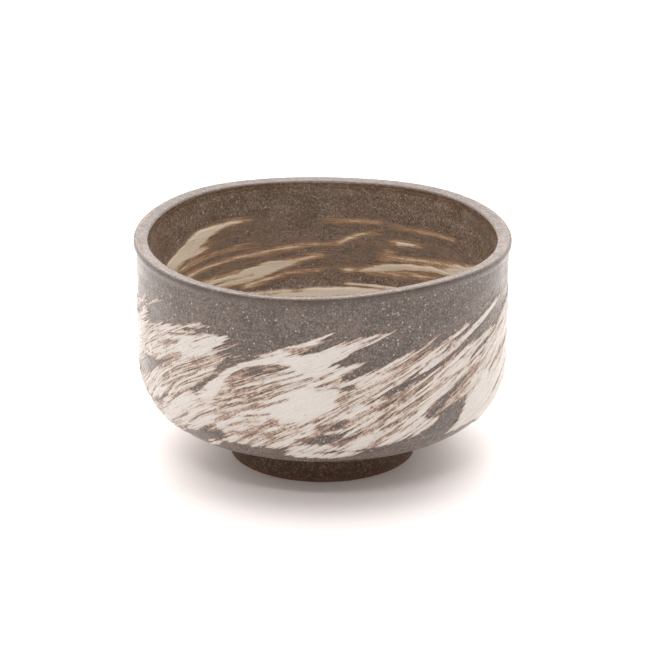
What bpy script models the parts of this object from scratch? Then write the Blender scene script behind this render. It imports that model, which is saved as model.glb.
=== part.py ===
"""A hand-thrown matcha bowl: a stoneware cup on a turned ring foot, with strokes of brushed slip.

Lengths here are in millimetres and angles in degrees. The meshes are made in metres, with +Z up, and the
origin is the centre of the foot's bearing face. Angles round the bowl start at the front, -Y, and grow
towards +X.
"""

import math

import bmesh
import bpy

MM = 0.001

# Driving dimensions of the cup.
RIM_RADIUS = 60.0
RIM_HEIGHT = 73.2
WALL_RADIUS = 58.4  # where the wall's line meets the line of the cone under it
WAIST_HEIGHT = 17.3
WAIST_TURN = 19.0  # radius of the round turn from cone to wall
INSIDE_RADIUS = 54.0
INSIDE_TURN = 26.0
FLOOR_HEIGHT = 14.4
POOL_RADIUS = 15.5  # the shallow hollow in the middle of the floor, where the last tea gathers
POOL_DEPTH = 1.6

# Driving dimensions of the foot.
FOOT_RADIUS = 30.0
FOOT_TOP_RADIUS = 30.5
FOOT_BORE = 24.9
FOOT_TOP_BORE = 23.4
FOOT_HEIGHT = 9.0

GAP = 0.3  # clear space between two solids that rest on each other
SEAT_HEIGHT = FOOT_HEIGHT + GAP

# The thrown wall wanders: turns of the wave, its size, and the angle of its crest.
HEIGHT_WAVES = [(1, 1.15, 180), (2, 0.45, 40), (3, 0.30, 15), (4, 0.35, 40)]
RADIUS_WAVES = [(2, 0.15, -40), (3, 0.13, -10), (4, 0.12, -44)]
WANDER_START = 22.0  # below this height the bowl is true

TURN_STEPS = 60
ARC_ERROR = 0.1  # how far a profile's segments may stray from a true arc
WIDEST_ARC_STEP = 36.0  # degrees

# Brushed slip.
SLIP_THICKNESS = 0.5
SLIP_RISE = 0.4  # outer strokes climb this much, in mm, for each degree round the wall
STROKE_STEPS = 16
STROKE_ROWS = 3
STROKE_TIP = 0.3  # share of the full width that is left at the blunt ends

# Outer strokes: name, first angle, last angle, height of the stroke's line at the front, half width.
OUTER_STROKES = [
    ("outer_slip_left_upper", -118, -30, 71.0, 4.8),
    ("outer_slip_left_lower", -92, -44, 61.0, 4.4),
    ("outer_slip_centre_upper", -70, 6, 51.8, 4.2),
    ("outer_slip_centre_lower", -50, 26, 43.0, 3.9),
    ("outer_slip_right_upper", -24, 62, 34.6, 3.8),
    ("outer_slip_right_lower", 0, 82, 25.0, 5.0),
    ("outer_slip_low_right", 48, 118, 5.0, 5.6),
    ("outer_slip_back_right", 80, 150, -8.4, 5.6),
    ("outer_slip_back_middle", 112, 184, -21.4, 5.6),
    ("outer_slip_back_left", 146, 222, -34.6, 5.6),
    ("outer_slip_far_left", 178, 250, -47.6, 5.4),
    ("outer_slip_left_edge", 210, 286, -60.4, 5.6),
]

# Inner strokes, nearly level: name, first angle, last angle, first height, last height, half width.
INNER_STROKES = [
    ("inner_slip_high_left", 246, 208, 54.5, 61.5, 2.6),
    ("inner_slip_left_arc", 240, 186, 49.0, 53.0, 1.2),
    ("inner_slip_left_band", 226, 178, 42.0, 46.6, 2.0),
    ("inner_slip_right_arc", 174, 128, 58.5, 59.5, 1.0),
    ("inner_slip_right_crescent", 166, 120, 43.0, 51.0, 1.8),
    ("inner_slip_near_upper", 64, -50, 50.0, 57.0, 2.4),
    ("inner_slip_near_lower", 84, -66, 41.0, 45.0, 1.8),
]
FLOOR_COAT_TOP = 35.0


def rounded_path(corners):
    """Points along straight lines through the corners, each given as radius, height and fillet radius."""
    points = []
    for index, (x, z, fillet) in enumerate(corners):
        if fillet == 0:
            points.append((x, z))
            continue
        before = corners[index - 1]
        after = corners[(index + 1) % len(corners)]
        to_before = (before[0] - x, before[1] - z)
        to_after = (after[0] - x, after[1] - z)
        start_angle = math.atan2(to_before[1], to_before[0])
        end_angle = math.atan2(to_after[1], to_after[0])
        opening = (end_angle - start_angle + math.pi) % (2 * math.pi) - math.pi
        half = abs(opening) / 2
        middle = start_angle + opening / 2
        reach = fillet / math.sin(half)
        centre = (x + reach * math.cos(middle), z + reach * math.sin(middle))
        sweep = math.pi - 2 * half
        widest = min(2 * math.acos(1 - ARC_ERROR / fillet), math.radians(WIDEST_ARC_STEP))
        count = math.ceil(sweep / widest)
        side = 1 if opening > 0 else -1
        first = middle + math.pi + side * sweep / 2
        for step in range(count + 1):
            angle = first - side * sweep * step / count
            points.append((centre[0] + fillet * math.cos(angle), centre[1] + fillet * math.sin(angle)))
    return points


def inner_corners():
    """The floor and the inside wall, from the axis up to the lip."""
    return [
        (0, FLOOR_HEIGHT, 0),
        (POOL_RADIUS, FLOOR_HEIGHT, 2.5),
        (POOL_RADIUS + 3, FLOOR_HEIGHT + POOL_DEPTH, 2.5),
        (INSIDE_RADIUS, FLOOR_HEIGHT + POOL_DEPTH + 0.6, INSIDE_TURN),
    ]


def lip_corners():
    """A nearly flat land with a soft inner edge, and an outer edge that rolls out past the wall."""
    return [
        (RIM_RADIUS - 4.7, RIM_HEIGHT - 0.6, 0.8),
        (RIM_RADIUS - 1.2, RIM_HEIGHT, 0.8),
        (RIM_RADIUS, RIM_HEIGHT - 0.4, 0.5),
        (RIM_RADIUS, RIM_HEIGHT - 1.6, 1.0),
        (RIM_RADIUS - 0.8, RIM_HEIGHT - 3.2, 2.0),
    ]


def outer_corners():
    """The wall, the round waist, the shallow cone, the seat of the foot and the turned underside."""
    return [
        (WALL_RADIUS, WAIST_HEIGHT, WAIST_TURN),
        (FOOT_TOP_RADIUS + 0.5, SEAT_HEIGHT + 0.3, 0),
        (FOOT_TOP_RADIUS, SEAT_HEIGHT, 0),
        (FOOT_TOP_BORE - 0.6, SEAT_HEIGHT, 0),
        (12.0, SEAT_HEIGHT - 0.8, 6.0),
        (4.0, SEAT_HEIGHT - 1.2, 2.0),
        (0, SEAT_HEIGHT - 2.3, 0),
    ]


def wall_line(points, height):
    """Radius and outward slope of a profile's wall at a height, read between its points."""
    for (r_0, z_0), (r_1, z_1) in zip(points, points[1:]):
        if min(z_0, z_1) <= height <= max(z_0, z_1) and z_0 != z_1:
            share = (height - z_0) / (z_1 - z_0)
            return r_0 + share * (r_1 - r_0), (r_1 - r_0) / (z_1 - z_0)
    raise ValueError(f"no wall at height {height}")


def thrown(radius, angle, height):
    """The place of a point in metres, on the uneven wall, from its place on the true one."""
    share = min(max((height - WANDER_START) / (RIM_HEIGHT - WANDER_START), 0), 1)
    share = share * share * (3 - 2 * share)
    for turns, size, crest in HEIGHT_WAVES:
        height += share * size * math.cos(turns * math.radians(angle - crest))
    for turns, size, crest in RADIUS_WAVES:
        radius += share * size * math.cos(turns * math.radians(angle - crest))
    turn = math.radians(angle)
    return (radius * math.sin(turn) * MM, -radius * math.cos(turn) * MM, height * MM)


def material(name, colour, roughness):
    made = bpy.data.materials.new(name)
    made.use_nodes = True
    shader = made.node_tree.nodes["Principled BSDF"]
    shader.inputs["Base Color"].default_value = (*colour, 1)
    shader.inputs["Roughness"].default_value = roughness
    shader.inputs["Metallic"].default_value = 0
    made.diffuse_color = (*colour, 1)
    return made


def add_object(name, mesh, finish):
    mesh.materials.append(finish)
    made = bpy.data.objects.new(name, mesh)
    bowl.objects.link(made)
    return made


def turned(name, points, closed, finish, thickness=0):
    """A profile turned round the Z axis. An open profile may be thickened away from the axis side."""
    mesh = bpy.data.meshes.new(name)
    edges = [(i, i + 1) for i in range(len(points) - 1)]
    if closed:
        edges.append((len(points) - 1, 0))
    mesh.from_pydata([(x * MM, 0, z * MM) for x, z in points], edges, [])
    made = add_object(name, mesh, finish)
    screw = made.modifiers.new("turn", "SCREW")
    screw.steps = TURN_STEPS
    screw.render_steps = TURN_STEPS
    screw.use_merge_vertices = True
    screw.merge_threshold = 0.00001
    if thickness:
        shell = made.modifiers.new("thickness", "SOLIDIFY")
        shell.thickness = thickness * MM
        shell.offset = 1
    return made


def make_uneven(made):
    """Replaces a turned object's mesh by the same mesh with the wander of the thrown wall."""
    graph = bpy.context.evaluated_depsgraph_get()
    mesh = bpy.data.meshes.new_from_object(made.evaluated_get(graph))
    made.modifiers.clear()
    made.data = mesh
    for vertex in mesh.vertices:
        x, y, z = vertex.co / MM
        vertex.co = thrown(math.hypot(x, y), math.degrees(math.atan2(x, -y)), z)
    mesh.shade_smooth()
    mesh.set_sharp_from_angle(angle=math.radians(50))


def brush_stroke(name, profile, outward, place, finish):
    """One stroke of slip on a wall. place gives angle, height and half width for a share of its length."""
    grid = bmesh.new()
    rows = []
    for step in range(STROKE_STEPS + 1):
        angle, middle, half_width = place(step / STROKE_STEPS)
        row = []
        for line in range(STROKE_ROWS + 1):
            height = middle + half_width * (2 * line / STROKE_ROWS - 1)
            radius, slope = wall_line(profile, height)
            tilt = math.hypot(1, slope)
            radius += outward * GAP / tilt
            height -= outward * GAP * slope / tilt
            row.append(grid.verts.new(thrown(radius, angle, height)))
        rows.append(row)
    for near, far in zip(rows, rows[1:]):
        for line in range(STROKE_ROWS):
            grid.faces.new((near[line], far[line], far[line + 1], near[line + 1]))
    mesh = bpy.data.meshes.new(name)
    grid.to_mesh(mesh)
    grid.free()
    made = add_object(name, mesh, finish)
    shell = made.modifiers.new("thickness", "SOLIDIFY")
    shell.thickness = SLIP_THICKNESS * MM
    shell.offset = 1
    mesh.shade_smooth()
    mesh.set_sharp_from_angle(angle=math.radians(50))


def blunt(share):
    """The width of a stroke along its length: full in the middle, narrow and round at both ends."""
    return max(1 - (2 * share - 1) ** 4, 0) ** 0.5 * (1 - STROKE_TIP) + STROKE_TIP


def make_outer_strokes(profile, finish):
    for name, first, last, front_height, half_width in OUTER_STROKES:

        def place(share):
            angle = first + (last - first) * share
            return angle, front_height + SLIP_RISE * angle, half_width * blunt(share)

        brush_stroke(name, profile, 1, place, finish)


def make_inner_strokes(profile, finish):
    for name, first, last, low, high, half_width in INNER_STROKES:

        def place(share):
            return first + (last - first) * share, low + (high - low) * share, half_width * blunt(share)

        brush_stroke(name, profile, -1, place, finish)


def floor_coat_points(profile):
    """The inside wall's line from the axis up to the coat's edge, moved off the clay by the gap."""
    kept = [point for point in profile if point[1] < FLOOR_COAT_TOP]
    kept.append((wall_line(profile[len(kept) - 1:], FLOOR_COAT_TOP)[0], FLOOR_COAT_TOP))
    points = []
    for index, (x, z) in enumerate(kept):
        before = kept[max(index - 1, 0)]
        after = kept[min(index + 1, len(kept) - 1)]
        along = (after[0] - before[0], after[1] - before[1])
        length = math.hypot(*along)
        shift = 0 if index == 0 else -GAP * along[1] / length
        points.append((x + shift, z + GAP * along[0] / length))
    return points


for old in list(bpy.data.objects):
    bpy.data.objects.remove(old, do_unlink=True)

bowl = bpy.data.collections.new("matcha_bowl")
bpy.context.scene.collection.children.link(bowl)

glazed_clay = material("glazed clay", (0.20, 0.155, 0.13), 0.3)
bare_foot = material("bare foot clay", (0.07, 0.04, 0.027), 0.75)
white_slip = material("white slip", (0.74, 0.68, 0.62), 0.3)

body_points = rounded_path(inner_corners() + lip_corners() + outer_corners())
crest = max(range(len(body_points)), key=lambda index: body_points[index][1])
inside_wall = body_points[:crest]
outside_wall = body_points[crest + 1:]

make_uneven(turned("bowl_body", body_points, False, glazed_clay))

foot_points = rounded_path([
    (FOOT_TOP_BORE, FOOT_HEIGHT, 0),
    (FOOT_TOP_RADIUS, FOOT_HEIGHT, 0),
    (FOOT_RADIUS, 0, 0.9),
    (FOOT_BORE, 0, 0.9),
])
make_uneven(turned("foot_ring", foot_points, True, bare_foot))

make_outer_strokes(outside_wall, white_slip)
make_inner_strokes(inside_wall, white_slip)
coat_points = floor_coat_points(inside_wall)
make_uneven(turned("inner_slip_floor_coat", coat_points, False, white_slip, SLIP_THICKNESS))
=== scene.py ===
import math

import bpy
import numpy as np
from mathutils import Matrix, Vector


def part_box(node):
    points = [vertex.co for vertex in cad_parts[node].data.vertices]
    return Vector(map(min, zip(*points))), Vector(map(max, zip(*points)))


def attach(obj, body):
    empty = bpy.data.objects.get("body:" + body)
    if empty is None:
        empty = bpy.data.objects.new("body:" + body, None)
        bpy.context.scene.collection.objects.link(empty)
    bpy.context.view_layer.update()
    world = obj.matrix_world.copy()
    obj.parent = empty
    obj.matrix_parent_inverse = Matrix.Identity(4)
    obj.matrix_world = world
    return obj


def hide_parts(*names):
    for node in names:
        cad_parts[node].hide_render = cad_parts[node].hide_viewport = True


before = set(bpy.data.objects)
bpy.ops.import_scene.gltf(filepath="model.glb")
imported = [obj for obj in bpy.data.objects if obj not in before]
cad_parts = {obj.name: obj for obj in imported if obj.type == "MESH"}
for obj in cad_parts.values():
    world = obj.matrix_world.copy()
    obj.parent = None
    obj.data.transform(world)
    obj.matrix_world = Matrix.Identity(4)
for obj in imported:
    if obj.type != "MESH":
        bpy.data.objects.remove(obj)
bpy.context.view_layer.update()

MM = 0.001
TURN = 6.28  # a whole turn in radians, rounded

# The body's lines, as the CAD body is turned from them.
RIM_RADIUS = 60.0
RIM_HEIGHT = 73.2
LIP_WIDTH = 4.7
WALL_RADIUS = 58.4
WAIST_HEIGHT = 17.3
WAIST_TURN = 19.0
INSIDE_RADIUS = 54.0
INSIDE_TURN = 26.0
FLOOR_HEIGHT = 14.4
POOL_RADIUS = 15.5
POOL_DEPTH = 1.6
HEIGHT_WAVES = [(1, 1.15, 180), (2, 0.45, 40), (3, 0.30, 15), (4, 0.35, 40)]
RADIUS_WAVES = [(2, 0.15, -40), (3, 0.13, -10), (4, 0.12, -44)]
WANDER_START = 22.0

foot_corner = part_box("foot_ring")[1]
FOOT_HEIGHT = foot_corner[2] / MM
FOOT_TOP_RADIUS = foot_corner[0] / MM
FOOT_RADIUS = FOOT_TOP_RADIUS - 0.5
FOOT_BORE = 24.9
FOOT_TOP_BORE = 23.4
SEAT_POINT = 2.3  # how far the turned point under the bowl hangs below its seat
SEAT_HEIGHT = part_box("bowl_body")[0][2] / MM + SEAT_POINT

ARC_STEP = 4.0  # degrees of a profile's arc to a segment
ROUND_MM = 2 * math.pi * WALL_RADIUS / 360  # how far one degree runs round the wall


# ---------------------------------------------------------------- helpers

def smooth(low, high, value):
    """0 below low, 1 above high, and an even ease between them."""
    share = np.clip((value - low) / (high - low), 0, 1)
    return share * share * (3 - 2 * share)


def soft_noise(x, y, seed):
    """Even noise from 0 to 1, with a bump to each unit of x and y."""
    table = np.random.default_rng(seed).random((128, 128))
    column = np.floor(x).astype(int)
    row = np.floor(y).astype(int)
    along = smooth(0, 1, x - column)
    across = smooth(0, 1, y - row)

    def between_rows(column):
        column = column % 128
        return table[column, row % 128] * (1 - across) + table[column, (row + 1) % 128] * across

    return between_rows(column) * (1 - along) + between_rows(column + 1) * along


def rounded_path(corners):
    """Points along straight lines through the corners, each given as radius, height and fillet radius."""
    points = []
    for index, (x, z, fillet) in enumerate(corners):
        if fillet == 0:
            points.append((x, z))
            continue
        before = corners[index - 1]
        after = corners[(index + 1) % len(corners)]
        start_angle = math.atan2(before[1] - z, before[0] - x)
        end_angle = math.atan2(after[1] - z, after[0] - x)
        opening = (end_angle - start_angle + math.pi) % (2 * math.pi) - math.pi
        half = abs(opening) / 2
        middle = start_angle + opening / 2
        reach = fillet / math.sin(half)
        centre = (x + reach * math.cos(middle), z + reach * math.sin(middle))
        sweep = math.pi - 2 * half
        count = math.ceil(math.degrees(sweep) / ARC_STEP)
        side = 1 if opening > 0 else -1
        first = middle + math.pi + side * sweep / 2
        for step in range(count + 1):
            angle = first - side * sweep * step / count
            points.append((centre[0] + fillet * math.cos(angle), centre[1] + fillet * math.sin(angle)))
    return np.array(points)


class Profile:
    """A turned outline, read by the distance run along it from its zero point."""

    def __init__(self, points, zero):
        steps = np.hypot(*np.diff(points, axis=0).T)
        self.points = points[np.concatenate([[True], steps > 1e-6])]
        self.run = np.concatenate([[0], np.cumsum(np.hypot(*np.diff(self.points, axis=0).T))])
        self.run -= self.run[zero(self.points)]
        even = np.arange(self.run[0], self.run[-1], 0.1)
        radius = np.interp(even, self.run, self.points[:, 0])
        height = np.interp(even, self.run, self.points[:, 1])
        along_r = np.gradient(radius)
        along_z = np.gradient(height)
        length = np.hypot(along_r, along_z)
        self.even, self.radius, self.height = even, radius, height
        self.normal_r, self.normal_z = -along_z / length, along_r / length

    def at(self, run, lift):
        """Radius and height of points at a run along the outline, lifted off it."""
        radius = np.interp(run, self.even, self.radius) + lift * np.interp(run, self.even, self.normal_r)
        height = np.interp(run, self.even, self.height) + lift * np.interp(run, self.even, self.normal_z)
        return np.maximum(radius, 0), height


def wave(waves, angle):
    """The sum of the waves at an angle."""
    return sum(size * np.cos(turns * np.radians(angle - crest)) for turns, size, crest in waves)


def turned(radius, angle, height):
    """Points in metres at a radius, an angle and a height."""
    turn = np.radians(angle)
    return np.stack([radius * np.sin(turn), -radius * np.cos(turn), height], axis=-1) * MM


def thrown(radius, angle, height):
    """Points in metres on the uneven wall, from their places on the true one."""
    share = smooth(WANDER_START, RIM_HEIGHT, height)
    height = height + share * wave(HEIGHT_WAVES, angle)
    radius = radius + share * wave(RADIUS_WAVES, angle)
    return turned(radius, angle, height)


def mesh_object(name, points, faces, finish, attributes):
    """A smooth object from vertex and face arrays, with a float attribute for each named array."""
    mesh = bpy.data.meshes.new(name)
    mesh.from_pydata(points.tolist(), [], faces)
    for key, values in attributes.items():
        layer = mesh.attributes.new(key, "FLOAT", "POINT")
        layer.data.foreach_set("value", np.asarray(values, dtype=np.float32).ravel())
    mesh.validate()
    mesh.shade_smooth()
    mesh.materials.append(finish)
    made = bpy.data.objects.new(name, mesh)
    bpy.context.scene.collection.objects.link(made)
    return made


def lathe_grid(runs, columns):
    """The run and the angle of each vertex of a turned surface."""
    return np.meshgrid(runs, np.arange(columns) * 360 / columns, indexing="ij")


def neighbours(columns):
    """Each column of a ring with the one after it."""
    return [(column, (column + 1) % columns) for column in range(columns)]


def lathe_faces(rows, columns, start):
    """Quads between rings of vertices, going round."""
    faces = []
    for row in range(rows - 1):
        low = start + row * columns
        high = low + columns
        for column, after in neighbours(columns):
            faces.append((low + column, high + column, high + after, low + after))
    return faces


# ---------------------------------------------------------------- the body's surface

body_profile = Profile(
    rounded_path([
        (0, FLOOR_HEIGHT, 0),
        (POOL_RADIUS, FLOOR_HEIGHT, 2.5),
        (POOL_RADIUS + 3, FLOOR_HEIGHT + POOL_DEPTH, 2.5),
        (INSIDE_RADIUS, FLOOR_HEIGHT + POOL_DEPTH + 0.6, INSIDE_TURN),
        (RIM_RADIUS - LIP_WIDTH, RIM_HEIGHT - 0.6, 0.8),
        (RIM_RADIUS - 1.2, RIM_HEIGHT, 0.8),
        (RIM_RADIUS, RIM_HEIGHT - 0.4, 0.5),
        (RIM_RADIUS, RIM_HEIGHT - 1.6, 1.0),
        (RIM_RADIUS - 0.8, RIM_HEIGHT - 3.2, 2.0),
        (WALL_RADIUS, WAIST_HEIGHT, WAIST_TURN),
        (FOOT_TOP_RADIUS + 0.5, SEAT_HEIGHT + 0.3, 0),
        (FOOT_TOP_RADIUS, SEAT_HEIGHT, 0),
        (FOOT_TOP_BORE - 0.6, SEAT_HEIGHT, 0),
        (12.0, SEAT_HEIGHT - 0.8, 6.0),
        (4.0, SEAT_HEIGHT - 1.2, 2.0),
        (0, SEAT_HEIGHT - SEAT_POINT, 0),
    ]),
    lambda points: int(np.argmax(points[:, 1])),
)

UNEVEN_BUMPS = 14
BUMP_SIZE = 0.045
bump_table = np.random.default_rng(41).random((UNEVEN_BUMPS, 4))


def unevenness(angle, run):
    """How far the body's surface stands out from its true profile: throwing rings and soft hand bumps."""
    lump = 0
    for turns_share, pitch_share, phase_a, phase_b in bump_table:
        turns = 2 + round(9 * turns_share)
        pitch = 18 + 40 * pitch_share
        around = np.cos(turns * np.radians(angle) + 7 * phase_a)
        lump = lump + around * np.cos(TURN * run / pitch + 7 * phase_b)
    lump = BUMP_SIZE * lump
    outside = smooth(3.5, 9, run)
    inside = smooth(-3.5, -9, run)
    ring_outside = 0.05 * np.sin(TURN * (run / 4.6 + angle / 360)) + 0.05 * np.sin(TURN * run / 11.5 + 1)
    ring_inside = 0.10 * np.sin(TURN * (run / 5.6 - angle / 360)) + 0.06 * np.sin(TURN * run / 14 + 2)
    near_foot = 1 - smooth(66, 78, run)
    near_pool = smooth(-100, -80, run)
    lump = lump * (0.3 + 0.7 * np.maximum(outside, inside))
    return (lump + outside * ring_outside + inside * ring_inside) * near_foot * near_pool


def body_points(angle, run, lift):
    """Points in metres on the clay, lifted off it by some millimetres."""
    radius, height = body_profile.at(run, lift + unevenness(angle, run))
    return thrown(radius, angle, height)


wall_outside = body_profile.even > 0
outer_heights = body_profile.height[wall_outside][::-1]
outer_runs = body_profile.even[wall_outside][::-1]
wall_inside = body_profile.even < 0
inner_heights = body_profile.height[wall_inside]
inner_runs = body_profile.even[wall_inside]


def run_outside(height):
    return np.interp(height, outer_heights, outer_runs)


def run_inside(height):
    return np.interp(height, inner_heights, inner_runs)


# ---------------------------------------------------------------- materials

class Tree:
    """A node tree, with one short call for each kind of node."""

    def __init__(self, node_tree):
        self.nodes = node_tree.nodes
        self.links = node_tree.links

    def feed(self, socket, value):
        """Link another node's output to a socket, or set the socket to a number or a colour."""
        if isinstance(value, bpy.types.NodeSocket):
            self.links.new(value, socket)
        elif isinstance(value, tuple):
            socket.default_value = (*value, 1)
        elif value is not None:
            socket.default_value = value

    def node(self, kind, **inputs):
        """A new node with its named inputs fed."""
        made = self.nodes.new("ShaderNode" + kind)
        for name, value in inputs.items():
            self.feed(made.inputs[name], value)
        return made

    def math(self, operation, first, second=None, third=None, clamp=False):
        made = self.node("Math")
        made.operation = operation
        made.use_clamp = clamp
        for socket, value in zip(made.inputs, (first, second, third)):
            self.feed(socket, value)
        return made.outputs[0]

    def times(self, first, second):
        return self.math("MULTIPLY", first, second)

    def attribute(self, name):
        made = self.node("Attribute")
        made.attribute_name = name
        return made.outputs["Fac"]

    def coordinates(self, scale=(1, 1, 1)):
        """Object coordinates in millimetres, stretched by scale."""
        place = self.node("TexCoord").outputs["Object"]
        return self.node("Mapping", Vector=place, Scale=[value / MM for value in scale]).outputs[0]

    def noise(self, vector, size, detail=2, rough=0.5):
        """Noise whose bumps are about size millimetres across."""
        made = self.node("TexNoise", Vector=vector, Scale=1 / size, Detail=detail, Roughness=rough)
        return made.outputs["Fac"]

    def ramp(self, value, stops):
        """Colours or grey levels along a value. stops are pairs of place and colour."""
        made = self.node("ValToRGB", Fac=value)
        band = made.color_ramp
        while len(band.elements) < len(stops):
            band.elements.new(0.5)
        for element, (place, colour) in zip(band.elements, stops):
            element.position = place
            if isinstance(colour, (int, float)):
                colour = (colour, colour, colour)
            element.color = (*colour, 1)
        return made.outputs["Color"]

    def ramp_by_run(self, run, stops):
        """A ramp whose stops are at millimetres of run from the lip's crest, within 6 on either side."""
        place = self.math("MULTIPLY_ADD", run, 1 / 12, 0.5)
        return self.ramp(place, [(0.5 + at / 12, level) for at, level in stops])

    def mix(self, share, first, second, blend="MIX"):
        made = self.node("Mix")
        made.data_type = "RGBA"
        made.blend_type = blend
        for index, value in ((0, share), (6, first), (7, second)):
            self.feed(made.inputs[index], value)
        return made.outputs[2]

    def bump(self, height, distance, before=None):
        """A bump of height 0 to 1 that stands distance millimetres, on top of any bump before it."""
        return self.node("Bump", Strength=1, Distance=distance * MM, Height=height, Normal=before).outputs[0]

    def specks(self, vector, spacing, size, share):
        """1 inside small grains and 0 between them. share of the cells hold a grain."""
        cells = self.node("TexVoronoi", Vector=vector, Scale=1 / spacing)
        inside = self.math("SUBTRACT", size / spacing, cells.outputs["Distance"])
        inside = self.math("MULTIPLY", inside, 6 * spacing, clamp=True)
        chance = self.node("SeparateColor", Color=cells.outputs["Color"]).outputs[0]
        return self.times(inside, self.math("LESS_THAN", chance, share))


def new_material(name):
    made = bpy.data.materials.new(name)
    made.use_nodes = True
    return made, Tree(made.node_tree), made.node_tree.nodes["Principled BSDF"].inputs


CLAY_OUTSIDE = (0.128, 0.095, 0.076)
CLAY_OUTSIDE_DARK = (0.044, 0.032, 0.025)
CLAY_INSIDE = (0.21, 0.153, 0.116)
CLAY_INSIDE_DARK = (0.095, 0.063, 0.044)
# Painted warm bounce light from the floor: the outer clay is lighter and warmer towards the foot.
PAINTED_FLOOR_BOUNCE = (1.34, 1.16, 0.98)  # multiplies the outer clay near the foot
PAINTED_FLOOR_BOUNCE_SPAN = 40
# Dark brown of glaze pooled at the lip's edges, and also painted shade: it darkens the lip's outer face where
# that face curves under.
POOLED_GLAZE_AND_SHADE = (0.04, 0.021, 0.009)
CLAY_LIP = (0.118, 0.072, 0.046)
CLAY_LIP_DARK = (0.055, 0.032, 0.019)
CLAY_LIP_PALE = (0.25, 0.19, 0.145)
OCHRE = (0.27, 0.135, 0.05)
GRIT = (0.66, 0.63, 0.6)
IRON = (0.035, 0.022, 0.016)
# The slip from a film to a thick coat.
OUTER_SLIP = [
    (0.15, 0.095, 0.07), (0.235, 0.148, 0.104), (0.4, 0.305, 0.24), (0.515, 0.463, 0.412),
    (0.562, 0.53, 0.493),
]
INNER_SLIP = [
    (0.15, 0.113, 0.094), (0.265, 0.155, 0.088), (0.43, 0.295, 0.19), (0.6, 0.49, 0.375),
    (0.64, 0.555, 0.455),
]
FOOT_BROWN = (0.094, 0.048, 0.023)
FOOT_DARK = (0.028, 0.015, 0.008)
FOOT_PALE = (0.20, 0.13, 0.08)
FOOT_RED = (0.15, 0.06, 0.028)
FOOT_GRIT = (0.3, 0.24, 0.19)
FLOOR_COLOUR = (0.9, 0.855, 0.84)


def clay_colour(tree, place, dark, light):
    """The colour of the gritty clay, and its cloud and grain, which roughness and bump share."""
    cloud = tree.noise(place, 7, detail=4, rough=0.6)
    grain = tree.noise(place, 0.65, detail=3, rough=0.65)
    shade = tree.math("ADD", tree.times(cloud, 0.25), tree.times(grain, 0.75))
    colour = tree.ramp(shade, [(0.445, dark), (0.565, light)])
    grit = tree.specks(place, 1.6, 0.36, 0.42)
    fine_grit = tree.specks(place, 0.9, 0.25, 0.5)
    iron = tree.specks(place, 1.5, 0.38, 0.45)
    colour = tree.mix(tree.times(grit, 0.42), colour, GRIT)
    colour = tree.mix(tree.times(fine_grit, 0.35), colour, GRIT)
    return tree.mix(tree.times(iron, 0.75), colour, IRON), cloud, grain


def clay_material():
    """Warm grey gritty stoneware under a clear glaze that thins to ochre on the lip's edges."""
    made, tree, surface = new_material("glazed gritty clay")
    place = tree.coordinates()
    run = tree.attribute("run")
    outer, cloud, grain = clay_colour(tree, place, CLAY_OUTSIDE_DARK, CLAY_OUTSIDE)
    inner = clay_colour(tree, place, CLAY_INSIDE_DARK, CLAY_INSIDE)[0]
    inside = tree.ramp(tree.math("MULTIPLY_ADD", run, 0.1, 0.5), [(0.0, 1), (0.12, 0)])
    height = tree.node("SeparateXYZ", Vector=place).outputs["Z"]
    # Painted bounce light: the outer clay is fully lightened and warmed up to about 14 mm, fading out by
    # about 24 mm.
    low = tree.ramp(tree.times(height, 1 / PAINTED_FLOOR_BOUNCE_SPAN), [(0.35, 1), (0.6, 0)])
    outer = tree.mix(low, outer, PAINTED_FLOOR_BOUNCE, "MULTIPLY")
    colour = tree.mix(inside, outer, inner)

    # The lip's land runs from -4.8 to 0 mm and its outer face from 0 to 3 mm, both with a wavering edge.
    wander = tree.noise(place, 2.4, detail=4, rough=0.6)
    ragged = tree.math("MULTIPLY_ADD", wander, 2.0, tree.math("SUBTRACT", run, 1))
    lip = tree.ramp_by_run(ragged, [(-5.2, 0), (-4.4, 1), (0.1, 1), (0.7, 0)])
    lip_grain = tree.noise(place, 0.9, detail=3, rough=0.7)
    lip_colour = tree.ramp(lip_grain, [(0.34, CLAY_LIP_DARK), (0.6, CLAY_LIP), (0.72, CLAY_LIP_PALE)])
    colour = tree.mix(tree.times(lip, 0.8), colour, lip_colour)
    rim_lines = tree.ramp_by_run(ragged, [
        (-5.1, 0), (-4.7, 0.6), (-4.3, 0), (-0.2, 0), (0.2, 1), (0.6, 0),
    ])
    patchy = tree.ramp(tree.noise(place, 4, detail=4, rough=0.6), [(0.42, 0), (0.56, 1)])
    colour = tree.mix(tree.times(rim_lines, patchy), colour, OCHRE)
    # Pooled glaze and painted shade: a dark line at the land's inner edge, and a dark band down the lip's
    # outer face. The band is partly glaze pooled there and partly painted shade where the face curves under.
    pooled_glaze_and_shade = tree.ramp_by_run(ragged, [
        (-5.8, 0), (-5.4, 0.5), (-5.0, 0.5), (-4.7, 0),
        (0.3, 0), (0.6, 1), (2.4, 0.9), (3.6, 0.3), (5.4, 0),
    ])
    thick = tree.ramp(tree.noise(place, 9, detail=4, rough=0.6), [(0.38, 0.55), (0.56, 1)])
    colour = tree.mix(tree.times(pooled_glaze_and_shade, thick), colour, POOLED_GLAZE_AND_SHADE)
    tree.feed(surface["Base Color"], colour)

    rough = tree.ramp(cloud, [(0.38, 0.1), (0.62, 0.28)])
    rough = tree.mix(lip, rough, tree.ramp(wander, [(0.42, 0.36), (0.54, 0.09)]))
    tree.feed(surface["Roughness"], rough)
    surface["Specular IOR Level"].default_value = 0.6
    below_lip = tree.math("MULTIPLY_ADD", lip, -0.45, 1)
    lumps = tree.times(tree.noise(place, 1.4, detail=3, rough=0.6), below_lip)
    fine = tree.times(grain, below_lip)
    tree.feed(surface["Normal"], tree.bump(fine, 0.13, tree.bump(lumps, 0.24)))
    return made


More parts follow.
